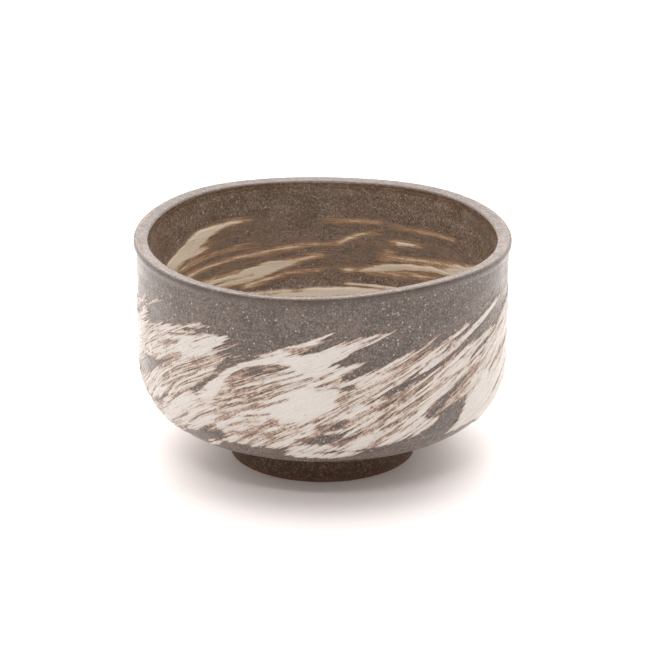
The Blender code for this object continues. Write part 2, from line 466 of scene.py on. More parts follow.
def slip_material(name, tones, clay_dark, clay_light, broken):
    """Brushed slip: bare clay where there is none, brown where it is a film, cream where it lies thick.

    broken is how far the streaks and crumbs break up the coat that the mesh's cover gives.
    """
    made, tree, surface = new_material(name)
    place = tree.coordinates()
    bare, _, grain = clay_colour(tree, place, clay_dark, clay_light)
    along = tree.times(tree.attribute("along"), 0.06)
    brushed = tree.node("CombineXYZ", X=along, Y=tree.attribute("across")).outputs[0]
    streak = tree.noise(brushed, 0.4, detail=3, rough=0.65)
    crumbs = tree.noise(place, 0.75, detail=4, rough=0.65)
    wash = tree.noise(place, 3.0, detail=3)
    coat = tree.attribute("cover")
    for source, size in ((streak, 1.9), (crumbs, 0.95), (wash, 0.6)):
        centred = tree.math("SUBTRACT", source, 0.5)
        coat = tree.math("MULTIPLY_ADD", centred, size * broken, coat)
    film, tan, pale, cream, white = tones
    colour = tree.ramp(coat, [(0.08, film), (0.28, tan), (0.44, pale), (0.64, cream), (1.0, white)])
    grey = tree.ramp(grain, [(0.32, 0.9), (0.68, 1)])
    colour = tree.mix(1.0, colour, grey, "MULTIPLY")
    shown = tree.ramp(coat, [(0.0, 0), (0.1, 0.75), (0.22, 1)])
    colour = tree.mix(shown, bare, colour)
    holes = tree.specks(place, 1.9, 0.26, 0.25)
    colour = tree.mix(tree.times(holes, 0.8), colour, film)
    tree.feed(surface["Base Color"], colour)
    tree.feed(surface["Roughness"], tree.ramp(streak, [(0.3, 0.2), (0.7, 0.38)]))
    tree.feed(surface["Normal"], tree.bump(grain, 0.05, tree.bump(coat, 0.12)))
    return made


def foot_material():
    """Bare dark stoneware, torn and grainy from turning, redder at the bearing edge."""
    made, tree, surface = new_material("bare turned clay")
    place = tree.coordinates()
    grain = tree.noise(place, 0.7, detail=4, rough=0.7)
    cloud = tree.noise(place, 6, detail=3)
    level = tree.attribute("level")
    base = tree.ramp(grain, [(0.42, FOOT_DARK), (0.56, FOOT_BROWN), (0.66, FOOT_PALE)])
    low = tree.math("ADD", level, tree.times(cloud, 2))
    red = tree.ramp(tree.times(low, 0.1), [(0.12, 1), (0.3, 0)])
    colour = tree.mix(tree.times(red, 0.7), base, FOOT_RED)
    grit = tree.specks(place, 1.2, 0.26, 0.4)
    colour = tree.mix(tree.times(grit, 0.7), colour, FOOT_GRIT)
    tree.feed(surface["Base Color"], colour)
    tree.feed(surface["Roughness"], tree.ramp(grain, [(0.3, 0.62), (0.7, 0.85)]))
    surface["Specular IOR Level"].default_value = 0.4
    torn = tree.bump(tree.noise(tree.coordinates((1, 1, 3)), 1.4, detail=3), 0.18)
    tree.feed(surface["Normal"], tree.bump(grain, 0.12, torn))
    return made


clay = clay_material()
outer_slip_finish = slip_material("outer brushed slip", OUTER_SLIP, CLAY_OUTSIDE_DARK, CLAY_OUTSIDE, 1)
inner_slip_finish = slip_material("inner brushed slip", INNER_SLIP, CLAY_INSIDE_DARK, CLAY_INSIDE, 0.32)
foot_clay = foot_material()


# ---------------------------------------------------------------- body and foot

BODY_COLUMNS = 384


def body_runs():
    """Where the body's rings lie along the profile: closest on the lip, widest on the hidden floor."""
    first, last = body_profile.even[0], body_profile.even[-1]
    stretches = [
        (first, -75, 1.7), (-75, -8, 0.82), (-8, 7, 0.30), (7, 76, 0.82), (76, last, 1.4),
    ]
    runs = [first]
    for low, high, step in stretches:
        count = math.ceil((high - low) / step)
        runs += [low + (high - low) * (index + 1) / count for index in range(count)]
    return np.array(runs)


def make_body():
    runs = body_runs()[1:-1]
    run_grid, angle_grid = lathe_grid(runs, BODY_COLUMNS)
    points = body_points(angle_grid, run_grid, 0).reshape(-1, 3)
    top = len(points)
    ends = [[0, 0, FLOOR_HEIGHT * MM], [0, 0, (SEAT_HEIGHT - SEAT_POINT) * MM]]
    points = np.concatenate([points, ends])
    faces = lathe_faces(len(runs), BODY_COLUMNS, 0)
    last = top - BODY_COLUMNS
    for column, after in neighbours(BODY_COLUMNS):
        faces.append((top, column, after))
        faces.append((top + 1, last + after, last + column))
    run_values = np.concatenate([run_grid.ravel(), [runs[0], runs[-1]]])
    made = mesh_object("bowl_body_clay", points, faces, clay, {"run": run_values})
    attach(made, "root")
    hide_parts("bowl_body")


FOOT_COLUMNS = 360


def make_foot():
    """The ring foot, with soft turning lines and small chips along its bearing edges."""
    outline = rounded_path([
        (FOOT_TOP_BORE, FOOT_HEIGHT, 0),
        (FOOT_TOP_RADIUS, FOOT_HEIGHT, 0),
        (FOOT_RADIUS, 0, 0.9),
        (FOOT_BORE, 0, 0.9),
    ])
    closed = np.concatenate([outline, outline[:1]])
    profile = Profile(closed, lambda points: 0)
    runs = np.arange(0, profile.run[-1], 0.42)
    run_grid, angle_grid = lathe_grid(runs, FOOT_COLUMNS)
    radius, height = profile.at(run_grid, 0)
    upright = smooth(0.25, 1.4, height) * smooth(FOOT_HEIGHT, FOOT_HEIGHT - 0.8, height)
    outward = np.where(radius > (FOOT_RADIUS + FOOT_BORE) / 2, 1, -1)
    turning = 0.07 * np.sin(TURN * (height / 1.7 + angle_grid / 360))
    lumps = 0.35 * (soft_noise(angle_grid / 9, height / 4, 5) - 0.6)
    fine = 0.16 * (soft_noise(angle_grid / 1.6, height / 0.8, 6) - 0.6)
    radius = radius + outward * upright * (turning + lumps + fine)
    chips = smooth(0.66, 0.8, soft_noise(angle_grid / 3.1, height * 0, 8)) * smooth(1.6, 0.4, height)
    radius = radius - outward * 0.35 * chips * smooth(0.0, 0.5, height)
    points = turned(radius, angle_grid, height)
    faces = lathe_faces(len(runs), FOOT_COLUMNS, 0)
    last = (len(runs) - 1) * FOOT_COLUMNS
    for column, after in neighbours(FOOT_COLUMNS):
        faces.append((last + column, column, after, last + after))
    made = mesh_object("foot_ring_clay", points.reshape(-1, 3), faces, foot_clay, {"level": height})
    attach(made, "root")
    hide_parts("foot_ring")


make_body()
make_foot()


# ---------------------------------------------------------------- slip

# A mark is what one pass of the brush leaves: stations along it, each with an angle, the heights of its
# lower and upper edges, and its body, from 1.3 for a solid coat down to nearly 0 for a film. Where no body
# is given, it is 1.
OUTER_MARKS = {
    "outer_slip_left_upper": [
        [(-128, 14, 34, 0.8), (-104, 22, 45, 1.1), (-85, 32, 51, 1.1), (-72, 39, 50.5, 0.85),
         (-60, 41, 54, 0.9), (-52, 45, 56, 0.92), (-44, 47.5, 56.6), (-36, 50.5, 57.4, 1.05),
         (-31, 54, 57.4, 1.1), (-28.5, 55.6, 57, 1.2)],
        [(-56, 52.6, 54.4, 0.6), (-44, 56, 58.2, 0.9), (-37, 58.2, 59.8, 0.9), (-32, 59.8, 60.6, 1.1)],
        [(-96, 47, 51, 0.6), (-80, 53.2, 55.4, 0.7), (-70, 56.8, 58.4, 0.8), (-57.5, 61, 62, 0.8)],
        [(-88, 49, 51.5, 0.6), (-72, 55, 56.4, 0.6), (-59, 59.6, 60.5, 0.5)],
        [(-73, 53.2, 54, 0.9), (-70, 53.2, 55.8, 1.1), (-66.5, 54.6, 55.6, 0.9)],
    ],
    "outer_slip_left_lower": [
        [(-112, 12, 24, 0.8), (-90, 18, 31, 0.9), (-80, 22.5, 30.5, 0.85), (-70, 26, 34, 0.9),
         (-60, 29, 39, 0.98), (-50, 33.6, 45.5, 0.9), (-40, 40, 50, 0.85), (-35, 43.4, 51.8, 0.7),
         (-29, 51, 54.4, 0.45)],
    ],
    "outer_slip_centre_upper": [
        [(-106, 9.9, 15, 0.7), (-85, 10.9, 19.5, 0.75), (-70, 12.6, 24, 0.9), (-60, 15.2, 28, 0.8),
         (-50, 20.6, 33.5, 0.75), (-44, 22.4, 36, 0.8), (-39, 24.4, 36.5, 0.6), (-33.5, 28, 34.5, 0.5)],
        [(-39, 34.6, 38.4, 1.1), (-34.5, 36.4, 43.4, 1.1), (-30, 41, 46.8), (-22, 47, 51.2),
         (-14, 50.8, 54.8, 1.1), (-8, 53.8, 57.2, 0.9), (-4, 55.8, 58.8, 0.9), (2, 59, 60.8, 0.9)],
        [(-32, 45, 47, 0.3), (-26, 49.5, 51.5, 0.25), (-20, 51.8, 53.4, 0.15)],
        [(-20, 47, 50.6, 0.9), (-10, 48.4, 54, 1.1), (-2, 49.5, 55.5, 1.2), (4, 51.8, 57.6, 1.1),
         (10, 54.8, 59), (16, 57.2, 59.8, 0.9), (22, 59.2, 60, 0.8)],
        [(-57, 12, 12.8, 0.9), (-53.5, 11.8, 13.6, 1.1), (-46, 13.6, 14.4, 0.8)],
        [(-42, 17.6, 18.8, 1.2), (-39.5, 17.6, 20.8, 1.35), (-36, 18.8, 21.4, 1.35), (-34, 20.6, 21.4, 1.2)],
    ],
    "outer_slip_centre_lower": [
        [(-39, 26.4, 33.5, 0.7), (-34.5, 26, 38.5, 0.7), (-28, 27, 43, 0.55), (-20, 27.5, 46.5, 0.5),
         (-12, 29, 49, 0.75), (-4, 32, 50.6), (2, 37.5, 50.8), (6, 46.6, 50.4), (12.8, 50.2, 51, 0.9)],
        [(-20, 31.5, 37.5, 0.8), (-12, 32.6, 42.5, 1.3), (-4, 33.4, 43, 1.3), (3, 36.4, 44.2, 1.1),
         (8, 40, 45, 0.6)],
    ],
    "outer_slip_right_upper": [
        [(-35.5, 21.8, 25.5, 0.75), (-30, 21.2, 29, 0.85), (-20, 21.4, 31, 0.75), (-10, 22.4, 33, 0.8),
         (-2, 27, 38, 0.9), (4, 32.5, 45.2, 0.8), (10, 36, 46.8, 0.8), (16, 39, 48.4, 0.85),
         (22, 43, 50.8, 0.8), (29, 47.4, 53.2, 0.7), (37, 54.2, 56, 0.7)],
        [(14, 39.6, 42.5, 0.9), (22, 42.2, 46), (30, 45.5, 50, 0.9), (38, 50, 53.6, 0.75),
         (46, 54.4, 56, 0.6), (52, 57.2, 57.9, 0.6)],
        [(40, 52.4, 54, 0.4), (50, 56.8, 58, 0.7), (56, 59, 60.2, 0.7), (64, 61.4, 62.2, 0.6)],
        [(28, 43.4, 46.2), (40, 47.6, 50.8, 1.05), (46, 50.4, 53.2, 1.1), (56, 54.6, 57.2, 1.2),
         (68, 59, 60.4)],
        [(38, 46.8, 47.8, 0.7), (48, 50.8, 52.2, 0.9), (56, 53, 54.2, 0.9), (66, 55.2, 56.2, 0.7)],
    ],
    "outer_slip_right_lower": [
        [(-4, 27.5, 30, 0.7), (6, 28.6, 34.5, 0.9), (14, 30, 38, 0.9), (22, 33.2, 40.5, 0.8),
         (30, 36.4, 43.2, 0.9), (38, 40.4, 46.4), (48, 43.6, 49.2), (58, 47.4, 51.4, 0.9),
         (66, 51, 52.6, 0.8)],
        [(6, 25, 28.6, 0.8), (14, 25.6, 31.4, 0.85), (22, 27.2, 33.4, 0.9), (30, 29.8, 37), (36, 33, 40.6),
         (44, 37.6, 43, 0.8), (54, 41.6, 46, 0.9), (64, 46.4, 50.4, 0.9), (76, 51, 55, 0.8),
         (90, 56, 58, 0.6)],
        [(-12, 20.7, 23.6, 0.7), (0, 20.9, 24, 0.95), (10, 21.2, 27, 1.1), (20, 21.7, 29, 0.9),
         (30, 24.4, 30.4), (34, 26, 29.8), (39.5, 28.2, 29, 0.8)],
        [(-12, 19.4, 20.8, 0.9), (-7, 18.6, 20.6, 1.2), (0, 18.2, 20.4, 1.1), (6, 18.4, 20.4, 1.1),
         (13, 20, 21, 0.9)],
        [(36, 30, 30.8, 0.6), (44, 31.6, 37, 0.6), (50, 31.4, 42, 0.8), (62, 35, 49.5, 0.8),
         (74, 42, 55, 0.9), (92, 48, 58, 0.8)],
    ],
    "outer_slip_low_right": [
        [(45.5, 21.4, 24.4, 1.2), (48.5, 21.4, 31.6, 1.3), (53, 22.2, 34.4, 1.3), (60, 20.6, 38.4, 1.15),
         (67, 18, 43, 1.1), (74, 14.6, 47, 1.1), (86, 13, 52, 1.1), (104, 13.4, 50), (124, 20, 52, 0.7)],
    ],
    "outer_slip_back_right": [
        [(72, 16, 22, 0.7), (92, 15, 34), (116, 24, 44, 0.9), (134, 34, 52, 0.7), (154, 48, 57, 0.5)],
        [(98, 44, 48, 0.7), (116, 50, 55, 0.8), (136, 57, 60, 0.6)],
    ],
    "outer_slip_back_middle": [
        [(104, 15.5, 22, 0.7), (126, 16, 34, 1.1), (148, 24, 45, 0.9), (168, 36, 53, 0.7),
         (190, 50, 58.5, 0.5)],
        [(120, 12.6, 14, 0.6), (140, 13, 16, 0.8), (158, 16, 18, 0.6)],
    ],
    "outer_slip_back_left": [
        [(138, 15.5, 22, 0.7), (160, 16, 34), (184, 23, 46), (206, 37, 54, 0.7), (226, 51, 58.5, 0.5)],
    ],
    "outer_slip_far_left": [
        [(170, 15, 22, 0.7), (192, 15.5, 34), (214, 22, 44, 0.9), (236, 34, 52, 0.7), (256, 48, 57.5, 0.5)],
        [(210, 50, 52, 0.6), (226, 55, 58, 0.7), (244, 60.5, 61.5, 0.6)],
    ],
    "outer_slip_left_edge": [
        [(200, 14.5, 21, 0.7), (224, 14.5, 33), (250, 19, 40, 0.9), (268, 26, 46, 0.8),
         (292, 40, 54.5, 0.7)],
        [(226, 12, 13, 0.6), (246, 10.8, 15, 0.8), (262, 11, 13.4, 0.6)],
    ],
}
# Where the brush skipped or a finger wiped the slip away: the same stations, with the wipe's depth last.
OUTER_WIPES = [
    [(-46, 55.3, 55.9), (-40, 56.2, 57.6), (-34, 57.2, 59), (-28, 57.8, 60.4)],
    [(-52, 52.2, 52.8), (-44, 54.4, 55), (-38, 55.6, 56.2)],
    [(-64, 37, 39.4, 0.9), (-58, 40.2, 42.6, 0.7), (-52, 43.2, 46.2, 0.7), (-46, 46.4, 48.6, 0.6)],
    [(-60, 47, 47.8, 0.6), (-54, 48.4, 50, 0.8), (-48, 50.6, 51.4, 0.6)],
    [(-88, 16.6, 18), (-80, 17.4, 19.4), (-73, 20, 20.8, 0.7)],
    [(-82, 28, 30, 0.5), (-74, 31.6, 35, 0.75), (-66, 34.8, 39, 0.8), (-61, 38.6, 40.2, 0.7)],
    [(-62, 26.4, 27, 0.5), (-55, 28.4, 29, 0.6), (-49, 32.6, 33.2, 0.6), (-44, 36.4, 37.4, 0.9),
     (-41, 36.8, 39.2, 1.1), (-38, 38.2, 40.4, 1.1), (-35.5, 41.2, 42.6), (-32, 44.2, 45.4),
     (-29.5, 46.2, 48.8), (-26.5, 49, 50.6, 0.8)],
    [(-58, 33, 33.6, 0.6), (-48, 38, 39, 0.8), (-40, 42.6, 43.4, 0.6)],
    [(-31, 41.4, 42.4, 0.9), (-28, 42.6, 45), (-24, 44.4, 48), (-19, 46, 49.6, 1.1), (-13, 48, 50.4),
     (-10, 48.8, 50.2)],
    [(-29, 40.6, 41.6, 0.9), (-24, 42.2, 44, 1.1), (-19, 44.2, 45.4), (-13, 46.6, 47.4, 0.9),
     (-7, 48.6, 49.3, 0.8)],
    [(-34, 36.4, 37.6), (-30, 38, 39.4, 1.1), (-24, 40.2, 41.8, 1.1), (-18, 42.4, 43.4),
     (-12, 45.2, 45.9, 0.9), (-5, 47.4, 48, 0.8)],
    [(-35, 35, 35.6, 0.9), (-29, 36.2, 37.4, 1.1), (-22, 38.6, 40, 1.1), (-15, 41.6, 42.8, 1.1),
     (-9, 44.2, 45, 0.9), (-3, 46.4, 47, 0.8)],
    [(-34, 32.8, 33.4, 0.8), (-28, 34.8, 35.6), (-21, 36.8, 37.8, 1.1), (-15, 39.4, 40.6, 1.1),
     (-9, 42.2, 43.2), (-4, 44, 44.6, 0.8)],
    [(-33, 30.6, 31.2, 0.8), (-27, 33, 33.7), (-20, 35, 36, 1.1), (-14, 37, 38.4, 1.1), (-9, 39.2, 40, 0.9)],
    [(-33, 28.6, 29.2, 0.8), (-27, 31, 31.7), (-21, 32.6, 33.4), (-15, 33.8, 34.5, 0.9)],
    [(-30, 27.6, 28.2, 0.8), (-24, 29.6, 30.4, 0.9), (-18, 31.2, 31.9, 0.9)],
    [(-13, 55.2, 56, 0.6), (-7, 53.8, 56.2), (-1, 55.4, 57.2), (4, 57.8, 59.4)],
    [(-39, 21, 24), (-37, 21.6, 26.4), (-34, 22.4, 27.4), (-31.5, 22.6, 24.4)],
    [(-9, 25.4, 26.2, 0.8), (-4, 25.2, 27.2, 1.1), (0, 24.2, 27.4, 1.25), (5, 23.2, 27, 1.25),
     (9, 25, 27.2, 1.1), (14, 28.2, 29.4, 0.8), (19, 30.4, 31.2, 0.7)],
    [(-3, 29.4, 30.4, 0.9), (1, 28.8, 31.4, 1.25), (6.5, 29.8, 32.8, 1.3), (7.6, 31, 32.6, 1.2)],
    [(-28, 25.8, 26.6, 0.7), (-20, 26.2, 27.8, 0.8), (-14, 27.8, 28.6, 0.6)],
    [(-24, 28.8, 29.4, 0.5), (-16, 29.6, 30.8, 0.7), (-8, 31.2, 31.9, 0.5)],
    [(-2, 43, 43.6), (5, 45.3, 46.8), (12, 48, 50), (20, 50.3, 53), (28, 53.4, 56)],
    [(4.5, 50.2, 51.4), (8, 50.2, 54), (14, 51.4, 56.4), (20, 53, 58.6), (25, 55, 60)],
    [(3, 38, 38.8, 0.9), (6, 39, 41), (11, 41.4, 42.2, 0.8), (18, 44, 44.6, 0.6)],
    [(-3, 42, 42.6, 0.6), (3, 43, 43.6, 0.8), (5.8, 42.4, 43.4, 1.4), (7.5, 42.2, 43.9, 1.7),
     (9.6, 42.8, 43.8, 1.5)],
    [(8, 36.4, 36.8, 0.6), (14, 38.4, 39.2, 0.8), (22, 38.4, 40.2, 0.6)],
    [(15.5, 40.2, 40.8, 0.8), (22, 43, 44.2), (28, 46.2, 47), (31, 47.6, 48.2, 0.8)],
    [(18, 46.2, 46.8, 0.8), (24, 48.8, 49.4, 0.9), (30, 50.4, 52), (34, 51.6, 53.8)],
    [(10, 34, 34.4, 0.6), (20, 36.2, 37.2, 0.9), (28, 38.6, 40.2), (35, 42.6, 43.8), (41, 46.2, 47.4),
     (47, 48.4, 50.2), (53, 50, 52), (60, 51.2, 53), (70, 53.4, 55)],
    [(15, 29.6, 30.2, 0.7), (20, 32, 33.2), (28, 34.6, 35.9), (34, 37.4, 38.6), (38, 39.6, 40.6, 0.9)],
    [(17, 28.4, 29, 0.6), (23, 30.2, 31.4, 0.9), (29, 32.2, 33, 0.7)],
    [(18, 25.6, 26.2, 0.7), (24, 27, 28.2, 0.9), (28, 28.6, 29.4, 0.7)],
    [(31, 30.2, 31), (34, 30, 33.4), (38, 31.4, 35.6), (42, 34.4, 37, 0.9), (47, 37, 38.8),
     (53, 39.4, 40.8, 0.9), (60, 42.4, 43.2, 0.7)],
    [(37, 28.8, 29.6), (41, 28.4, 31.6, 1.1), (46, 28.6, 33.4, 1.1), (49, 30.4, 33)],
    [(38, 47, 47.6, 0.5), (46, 50.2, 50.8, 0.8), (56, 53.6, 54.6, 0.8)],
    [(52, 45.4, 46, 0.9), (57, 46.8, 48), (66, 49.6, 51.6)],
    [(42, 41, 41.6, 0.6), (50, 42.6, 43.4, 0.7), (58, 45, 45.8, 0.7)],
    [(60, 36, 37.4, 0.5), (66, 38.6, 41, 0.7), (74, 43, 44.6, 0.6)],
    [(58, 25.6, 26.2, 0.6), (72, 31.6, 32.6, 0.8), (88, 39, 40, 0.7)],
    [(66, 38.6, 39.2, 0.7), (80, 43.4, 45), (98, 49.2, 50, 0.8)],
    [(70, 20.4, 21.2, 0.6), (88, 27.4, 29.4, 0.9), (106, 36.6, 38), (118, 42.4, 43.2, 0.7)],
    [(92, 20.6, 21.2, 0.7), (108, 28.4, 30, 0.9), (122, 36, 37, 0.8)],
]
INNER_MARKS = {
    "inner_slip_high_left": [
        [(205, 61.2, 62.2, 0.3), (211, 60.7, 62.5, 0.7), (216, 60.4, 62.6, 0.95), (222, 58.8, 62.4),
         (228, 55.6, 61.8, 1.1), (234, 53.2, 60.4, 1.1), (240, 51.2, 57.8, 1.1), (246, 47, 56),
         (256, 40, 50, 0.7)],
        [(219, 54.6, 56.4, 0.05), (224, 54, 58.6, 0.3), (229, 53.2, 57, 0.6), (236, 50.8, 54, 0.6)],
        [(190, 56, 61, 0), (204, 52, 61.6, 0.02), (222, 51, 60, 0.04), (240, 46, 54, 0.04)],
    ],
    "inner_slip_left_arc": [
        [(203, 51.9, 53.1, 0.2), (212, 51.9, 53.3, 0.35), (222, 51.6, 52.9, 0.45), (230, 51.2, 52.7, 0.5),
         (240, 49.8, 51.8, 0.5)],
        [(175, 50.9, 51.7, 0.3), (182, 50.6, 51.9, 0.5), (190, 49.9, 51.4, 0.55), (200, 49.1, 50.6, 0.6),
         (210, 48.5, 50, 0.6), (220, 47.6, 49.4, 0.65), (230, 47, 49.2, 0.7), (242, 44, 47, 0.7)],
        [(196, 45.9, 46.9, 0.2), (206, 45.6, 46.8, 0.25), (220, 44.8, 46.4, 0.2)],
        [(208, 43.6, 44.7, 0.5), (216, 43.2, 44.6, 0.6), (224, 42.6, 44.4, 0.6), (236, 41, 43, 0.6)],
        [(186, 53.6, 55, 0), (200, 45, 55, 0.02), (224, 44, 51, 0.04), (244, 40, 46, 0.04)],
    ],
    "inner_slip_left_band": [
        [(179.5, 46.8, 48, 0.35), (184, 45.8, 47.8, 0.6), (189, 44.5, 47, 0.8), (195, 42.6, 46.7),
         (201, 40.7, 46.3, 1.1), (206, 39.6, 45.2, 1.1), (212, 39.2, 43.8), (220, 39.6, 43.4, 0.9),
         (232, 37.6, 43, 0.8)],
        [(179.5, 41.1, 42.7, 0.5), (186, 41, 42.5, 0.5), (193, 40.6, 42.3, 0.6), (200, 39, 40.9, 0.6),
         (210, 37.6, 39.4, 0.6)],
    ],
    "inner_slip_right_arc": [
        [(158, 59.4, 60.3, 0.2), (164, 59.2, 60.5, 0.5), (171, 59, 60.3, 0.5), (180, 59, 60, 0.2)],
        [(128, 58.8, 59.9, 0.35), (131, 58.8, 60.1, 0.6), (138, 58.6, 59.9, 0.45), (146, 58.4, 59.5, 0.45),
         (156, 58.2, 59.2, 0.2)],
        [(160, 55.9, 57, 0.4), (164, 55.2, 56.6, 0.6), (169, 53.6, 55.1, 0.7), (173.5, 51.3, 52.9, 0.65),
         (176, 50.6, 51.6, 0.3)],
        [(144, 53.2, 54.4, 0.35), (148, 52.6, 54.7, 0.7), (152, 52.2, 54.4, 0.7), (156, 52.4, 53.6, 0.3)],
        [(112, 48, 52, 0), (130, 49, 57, 0.02), (158, 44, 57, 0.03), (184, 43, 53, 0.01)],
    ],
    "inner_slip_right_crescent": [
        [(112, 48.4, 54, 0.8), (122, 47.4, 51.6, 0.9), (132, 46, 48.8), (140, 45.4, 47.9, 1.1),
         (148, 44.6, 47.1, 1.2), (156, 43, 45.9, 1.2), (162, 41.9, 44.4), (168, 41.6, 43, 0.5)],
        [(112, 50.6, 55, 0.7), (122, 49.6, 52.4, 0.62), (130, 49, 51.2, 0.62), (140, 48.2, 50.2, 0.52),
         (150, 47.3, 49.4, 0.46), (156, 46.7, 49.4, 0.42), (160, 46.6, 48, 0.3)],
        [(153.5, 48.6, 50.4, 0.3), (156, 48.4, 51.4, 0.5), (158, 48.8, 50.6, 0.3)],
        [(128, 44.6, 47, 0.3), (140, 42.8, 45.8, 0.33), (148, 41.5, 44.8, 0.36), (156, 41.1, 43.6, 0.36),
         (165, 41.2, 42.6, 0.3)],
        [(167.5, 41.5, 43, 0.3), (171, 41, 43.5, 0.65), (174, 41.6, 43, 0.3)],
    ],
    "inner_slip_near_upper": [
        [(-56, 56, 58, 0.4), (-30, 52, 57.6, 0.9), (0, 48, 54.6, 1.1), (34, 46.6, 52), (70, 47, 50, 0.6)],
    ],
    "inner_slip_near_lower": [
        [(-72, 43.4, 46, 0.5), (-40, 40.6, 45.4), (0, 39, 43.8, 0.8), (50, 38, 42.4, 0.9),
         (90, 39, 41.4, 0.6)],
    ],
}
INNER_WIPES = [
    [(205, 41.6, 42.2, 0.5), (212, 41.4, 42.2, 0.5), (222, 41, 42, 0.4)],
    [(232, 55, 55.8, 0.3), (244, 50.6, 51.2, 0.4)],
]
FILM_EDGE = -0.30  # a coat thinner than this is left out
OUTSIDE = 1
INSIDE = -1

# The outer strokes are arcs. The climb for each millimetre round the wall, at distances below the crest.
CLIMB_AT = [-90, -70, -50, -40, -30, -21, -12, 0]
CLIMB = [0.56, 0.58, 0.62, 0.58, 0.46, 0.38, 0.34, 0.34]
CLIMB_MEAN = 0.45
STEEPER = {"outer_slip_left_upper": 1.5, "outer_slip_left_lower": 1.35}  # times that climb
climb_y = np.arange(-90, 0.01, 0.1)
climb_x = np.concatenate([[0], np.cumsum(0.1 / np.interp(climb_y[:-1], CLIMB_AT, CLIMB))])


def line_of(x, y, side, steep):
    """Which brush line a point is on: the same number all along one line, in millimetres across it."""
    if side == INSIDE:
        return y
    return CLIMB_MEAN * (np.interp(y, climb_y, climb_x) / steep - x)


def height_on_line(x, line, side, steep):
    """The inverse: how far up the wall a line is at x."""
    if side == INSIDE:
        return line + 0 * x
    return np.interp(steep * (line / CLIMB_MEAN + x), climb_x, climb_y)


def bristles(x, y, side, seed, steep):
    """The lines that a coarse brush draws: an even unevenness round 0, and furrows from 0 to 1."""
    drift = 1.6 * soft_noise(x / 26 + 60, y / 12 + 90, seed)
    across = line_of(x, y, side, steep) * steep + drift
    fine = soft_noise(across / 0.36 + 900, x / 5 + 60, seed + 1)
    middle = soft_noise(across / 0.85 + 900, x / 14 + 60, seed + 2)
    broad = soft_noise(across / 2.3 + 900, x / 22 + 60, seed + 3)
    line = 0.6 * soft_noise(across / 0.62 + 900, x / 8 + 30, seed + 4) + 0.4 * middle
    return 0.34 * fine + 0.36 * middle + 0.30 * broad - 0.5, smooth(0.58, 0.70, line), across


def band(x, y, stations, to_y, bristle, ragged, fray, soft):
    """How far inside one mark each point lies: 0 at its edge and 1 well inside, over soft millimetres."""
    angles, lows, highs, bodies = np.array([(*station, 1)[:4] for station in stations], float).T
    at = angles * ROUND_MM
    low = np.interp(x, at, [to_y(angle, value) for angle, value in zip(angles, lows)])
    high = np.interp(x, at, [to_y(angle, value) for angle, value in zip(angles, highs)])
    edge = np.minimum(y - low, high - y) + fray * (0.35 + 2.6 * bristle + 0.7 * ragged)
    ends = np.minimum(x - at[0], at[-1] - x) + fray * (0.4 + 12 * bristle)
    inside = np.clip(np.minimum(edge / soft, ends / (3 * soft)), -1.5, 1)
    return inside, np.interp(x, at, bodies)


NO_SLIP = -3.0


def coverage(x, y, marks, wipes, side, to_y, seed, steep):
    """The slip left on the wall at each point: 0 and less is bare, 1 is a full coat."""
    bristle, furrow, across = bristles(x, y, side, seed, steep)
    ragged = soft_noise(x / 0.9 + 400, y / 0.6 + 400, seed + 5) - 0.5
    mottle = 0.6 * soft_noise(x / 1.5 + 400, y / 0.9 + 400, seed + 6)
    mottle = mottle + 0.4 * soft_noise(x / 0.7 + 400, y / 0.5 + 400, seed + 7)
    cover = film = np.full(x.shape, NO_SLIP)
    for stations in marks:
        if side == OUTSIDE:
            inside, body = band(x, y, stations, to_y, bristle, ragged, 1.0, 0.8)
            loose = np.clip(1.35 - body, 0.1, 1)
            streaky = loose * (3.6 * bristle - 1.5 * furrow)
            cover = np.maximum(cover, body + streaky + 1.5 * (inside - 1))
            film = np.maximum(film, 0.27 + 1.3 * bristle + 0.3 * ragged + 0.6 * (inside - 0.6))
        else:
            inside, body = band(x, y, stations, to_y, bristle, ragged, 0.28, 1.0)
            streaky = 1.8 * np.minimum(body, 0.5) * bristle
            cover = np.maximum(cover, body + streaky - 0.25 * furrow + 1.1 * (inside - 0.9))
            film = np.maximum(film, np.minimum(0.26 + 0.36 * inside, 0.9 * body) + 0.4 * streaky)
    for stations in wipes:
        inside, depth = band(x, y, stations, to_y, -bristle, ragged, 0.3, 0.4)
        share = np.clip(inside + 0.2, 0, 1)
        cover = cover - 1.25 * depth * share
        film = film - 0.9 * np.maximum(depth - 0.8, 0) * share
    pits = (2.4 if side == OUTSIDE else 1.2) * np.maximum(mottle - 0.66, 0)
    return np.maximum(cover - pits, np.minimum(film, 0.36)), across


def corners(grid):
    """What lies at the four corners of each cell of a grid, going round."""
    return [grid[:-1, :-1], grid[1:, :-1], grid[1:, 1:], grid[:-1, 1:]]


def closed_skin(kept):
    """The grid points of the kept cells, and the faces of a skin over them, its under side and its rim."""
    used = np.logical_or.reduce(corners(np.pad(kept, 1)))
    total = int(used.sum())
    number = np.full(used.shape, -1)
    number[used] = np.arange(total)
    faces = np.stack([corner[kept] for corner in corners(number)], axis=1)
    edges = np.concatenate([faces[:, pair] for pair in neighbours(4)])
    twin = set(map(tuple, edges[:, ::-1].tolist()))
    rim = [edge for edge in map(tuple, edges.tolist()) if edge not in twin]
    under = (faces[:, ::-1] + total).tolist()
    sides = [(second, first, first + total, second + total) for first, second in rim]
    return used, faces.tolist() + under + sides


BARE_LIP = 5.5  # no slip within this run of the lip's crest
LOWEST_OUTSIDE = 9.9
LOWEST_INSIDE = 30.0
BURIED = 0.30  # how deep in the clay a skin's under side lies
LINE_STEP = 0.22  # the grid's step across the brush lines


